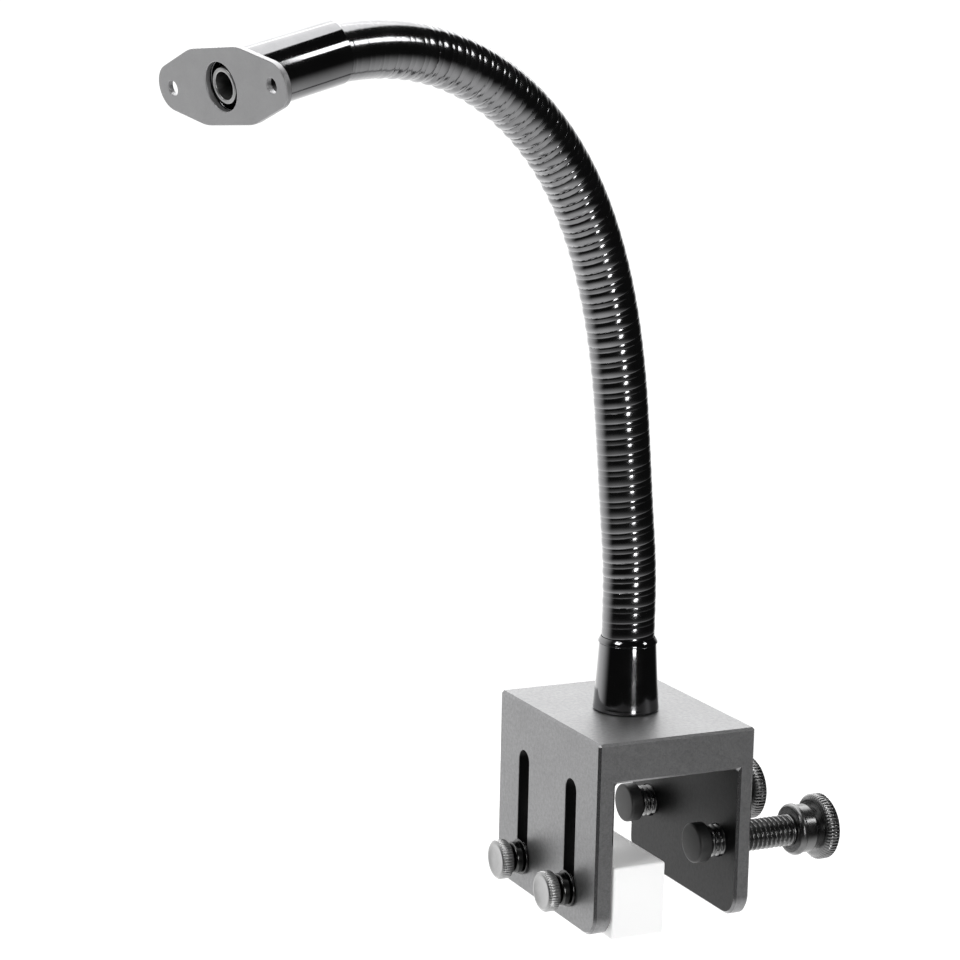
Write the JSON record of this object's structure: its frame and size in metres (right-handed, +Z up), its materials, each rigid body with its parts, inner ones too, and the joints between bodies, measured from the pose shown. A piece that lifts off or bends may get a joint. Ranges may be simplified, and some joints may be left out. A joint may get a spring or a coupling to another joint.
{
  "type": "clamp-on gooseneck holder stand",
  "caption": "Bench clamp with slotted jaw, slide bar and knurled screws, carrying a flexible wound gooseneck that ends in a two-hole flange for a tool holder.",
  "frame": {"origin": "middle of the slotted jaw's inner face, between its slots and 10 mm below the bridge's underside", "axes": "+X across the throat from the slotted jaw to the clamp screws, -Y the front, +Z up along the foot of the neck"},
  "size_m": [0.2105, 0.0994, 0.2646],
  "materials": {
    "clamp_aluminium": "fine bead-blasted, grey anodised",
    "dark_chrome": "polished black chrome",
    "neck_chrome": "polished black chrome on wound steel",
    "black_steel": "black oxide, knurled rims, faced ends",
    "bright_steel": "plain turned steel",
    "plate_steel": "matt grey face, bright cut edge",
    "white_plastic": "smooth white machined plastic",
    "black_nylon": "smooth black nylon"
  },
  "bodies": {
    "clamp": {"clamp_body": "clamp_aluminium"},
    "neck_base": {"base_ferrule": "dark_chrome", "neck_washer": "bright_steel", "neck_bolt": "bright_steel", "neck_link_01": "neck_chrome"},
    "neck_02": {"neck_link_02": "neck_chrome"},
    "neck_03": {"neck_link_03": "neck_chrome"},
    "neck_04": {"neck_link_04": "neck_chrome"},
    "neck_05": {"neck_link_05": "neck_chrome"},
    "neck_06": {"neck_link_06": "neck_chrome"},
    "neck_07": {"neck_link_07": "neck_chrome"},
    "neck_08": {"neck_link_08": "neck_chrome"},
    "neck_09": {"neck_link_09": "neck_chrome"},
    "neck_10": {"neck_link_10": "neck_chrome"},
    "neck_11": {"neck_link_11": "neck_chrome"},
    "neck_12": {"neck_link_12": "neck_chrome"},
    "neck_tip": {"neck_link_13": "neck_chrome", "end_ferrule": "dark_chrome", "cable_tube": "bright_steel", "flange_plate": "plate_steel"},
    "bar": {"slide_bar": "white_plastic"},
    "thumb_washer_front": {"thumb_washer_front": "bright_steel"},
    "thumb_screw_front": {"thumb_screw_front": "black_steel"},
    "screw_tip_front": {"screw_tip_front": "black_nylon"},
    "clamp_screw_front": {"clamp_screw_front": "black_steel"},
    "thumb_washer_rear": {"thumb_washer_rear": "bright_steel"},
    "thumb_screw_rear": {"thumb_screw_rear": "black_steel"},
    "screw_tip_rear": {"screw_tip_rear": "black_nylon"},
    "clamp_screw_rear": {"clamp_screw_rear": "black_steel"}
  },
  "joints": [
    {"name": "neck_turn", "type": "hinge", "parent": "clamp", "child": "neck_base", "pos_m": [0.0202, 0, 0.0223], "axis": [0, 0, 1], "range_deg": [-170, 170]},
    {"name": "neck_bend_01", "type": "hinge", "parent": "neck_base", "child": "neck_02", "pos_m": [0.0202, 0, 0.0648], "axis": [0.2672, -0.9636, 0], "range_deg": [-10, 14]},
    {"name": "neck_bend_02", "type": "hinge", "parent": "neck_02", "child": "neck_03", "pos_m": [0.01785, -0.00065, 0.08465], "axis": [0.2672, -0.9636, 0], "range_deg": [-10, 14]},
    {"name": "neck_bend_03", "type": "hinge", "parent": "neck_03", "child": "neck_04", "pos_m": [0.01584, -0.00121, 0.10454], "axis": [0.2672, -0.9636, 0], "range_deg": [-10, 14]},
    {"name": "neck_bend_04", "type": "hinge", "parent": "neck_04", "child": "neck_05", "pos_m": [0.01349, -0.00186, 0.12439], "axis": [0.2672, -0.9636, 0], "range_deg": [-10, 14]},
    {"name": "neck_bend_05", "type": "hinge", "parent": "neck_05", "child": "neck_06", "pos_m": [0.00948, -0.00297, 0.14395], "axis": [0.2672, -0.9636, 0], "range_deg": [-10, 14]},
    {"name": "neck_bend_06", "type": "hinge", "parent": "neck_06", "child": "neck_07", "pos_m": [0.00321, -0.00471, 0.16287], "axis": [0.2672, -0.9636, 0], "range_deg": [-10, 14]},
    {"name": "neck_bend_07", "type": "hinge", "parent": "neck_07", "child": "neck_08", "pos_m": [-0.00584, -0.00722, 0.18052], "axis": [0.2672, -0.9636, 0], "range_deg": [-13, 9]},
    {"name": "neck_bend_08", "type": "hinge", "parent": "neck_08", "child": "neck_09", "pos_m": [-0.01823, -0.01066, 0.19584], "axis": [0.2672, -0.9636, 0], "range_deg": [-13, 9]},
    {"name": "neck_bend_09", "type": "hinge", "parent": "neck_09", "child": "neck_10", "pos_m": [-0.03362, -0.01493, 0.20788], "axis": [0.2672, -0.9636, 0], "range_deg": [-13, 9]},
    {"name": "neck_bend_10", "type": "hinge", "parent": "neck_10", "child": "neck_11", "pos_m": [-0.05123, -0.01981, 0.21602], "axis": [0.2672, -0.9636, 0], "range_deg": [-13, 9]},
    {"name": "neck_bend_11", "type": "hinge", "parent": "neck_11", "child": "neck_12", "pos_m": [-0.07026, -0.02509, 0.21915], "axis": [0.2672, -0.9636, 0], "range_deg": [-13, 9]},
    {"name": "neck_bend_12", "type": "hinge", "parent": "neck_12", "child": "neck_tip", "pos_m": [-0.08949, -0.03042, 0.21775], "axis": [0.2672, -0.9636, 0], "range_deg": [-13, 9]},
    {"name": "bar_slide", "type": "slide", "parent": "clamp", "child": "bar", "axis": [0, 0, 1], "range_m": [-0.0015, 0.018]},
    {"name": "thumb_slide_front", "type": "slide", "parent": "bar", "child": "thumb_washer_front", "axis": [-1, 0, 0], "range_m": [0, 0.0031]},
    {"name": "thumb_turn_front", "type": "hinge", "parent": "thumb_washer_front", "child": "thumb_screw_front", "pos_m": [-0.0058, -0.0155, -0.026], "axis": [-1, 0, 0], "range_deg": [0, 879]},
    {"name": "clamp_slide_front", "type": "slide", "parent": "clamp", "child": "screw_tip_front", "axis": [1, 0, 0], "range_m": [-0.0146, 0.0047]},
    {"name": "clamp_turn_front", "type": "hinge", "parent": "screw_tip_front", "child": "clamp_screw_front", "pos_m": [0.0364, -0.0212, -0.0151], "axis": [1, 0, 0], "range_deg": [-3311, 1066]},
    {"name": "thumb_slide_rear", "type": "slide", "parent": "bar", "child": "thumb_washer_rear", "axis": [-1, 0, 0], "range_m": [0, 0.0031]},
    {"name": "thumb_turn_rear", "type": "hinge", "parent": "thumb_washer_rear", "child": "thumb_screw_rear", "pos_m": [-0.0058, 0.0155, -0.026], "axis": [-1, 0, 0], "range_deg": [0, 879]},
    {"name": "clamp_slide_rear", "type": "slide", "parent": "clamp", "child": "screw_tip_rear", "axis": [1, 0, 0], "range_m": [-0.0146, 0.0047]},
    {"name": "clamp_turn_rear", "type": "hinge", "parent": "screw_tip_rear", "child": "clamp_screw_rear", "pos_m": [0.0364, 0.0212, -0.0151], "axis": [1, 0, 0], "range_deg": [-3311, 1066]}
  ],
  "couplings": [
    {"joint": "neck_bend_02", "follows": "neck_bend_01", "ratio": 1},
    {"joint": "neck_bend_03", "follows": "neck_bend_01", "ratio": 1},
    {"joint": "neck_bend_04", "follows": "neck_bend_01", "ratio": 1},
    {"joint": "neck_bend_05", "follows": "neck_bend_01", "ratio": 1},
    {"joint": "neck_bend_06", "follows": "neck_bend_01", "ratio": 1},
    {"joint": "neck_bend_08", "follows": "neck_bend_07", "ratio": 1},
    {"joint": "neck_bend_09", "follows": "neck_bend_07", "ratio": 1},
    {"joint": "neck_bend_10", "follows": "neck_bend_07", "ratio": 1},
    {"joint": "neck_bend_11", "follows": "neck_bend_07", "ratio": 1},
    {"joint": "neck_bend_12", "follows": "neck_bend_07", "ratio": 1},
    {"joint": "thumb_turn_front", "follows": "thumb_slide_front", "rad_per_m": 4947.4},
    {"joint": "clamp_turn_front", "follows": "clamp_slide_front", "rad_per_m": 3957.9},
    {"joint": "thumb_turn_rear", "follows": "thumb_slide_rear", "rad_per_m": 4947.4},
    {"joint": "clamp_turn_rear", "follows": "clamp_slide_rear", "rad_per_m": 3957.9}
  ]
}
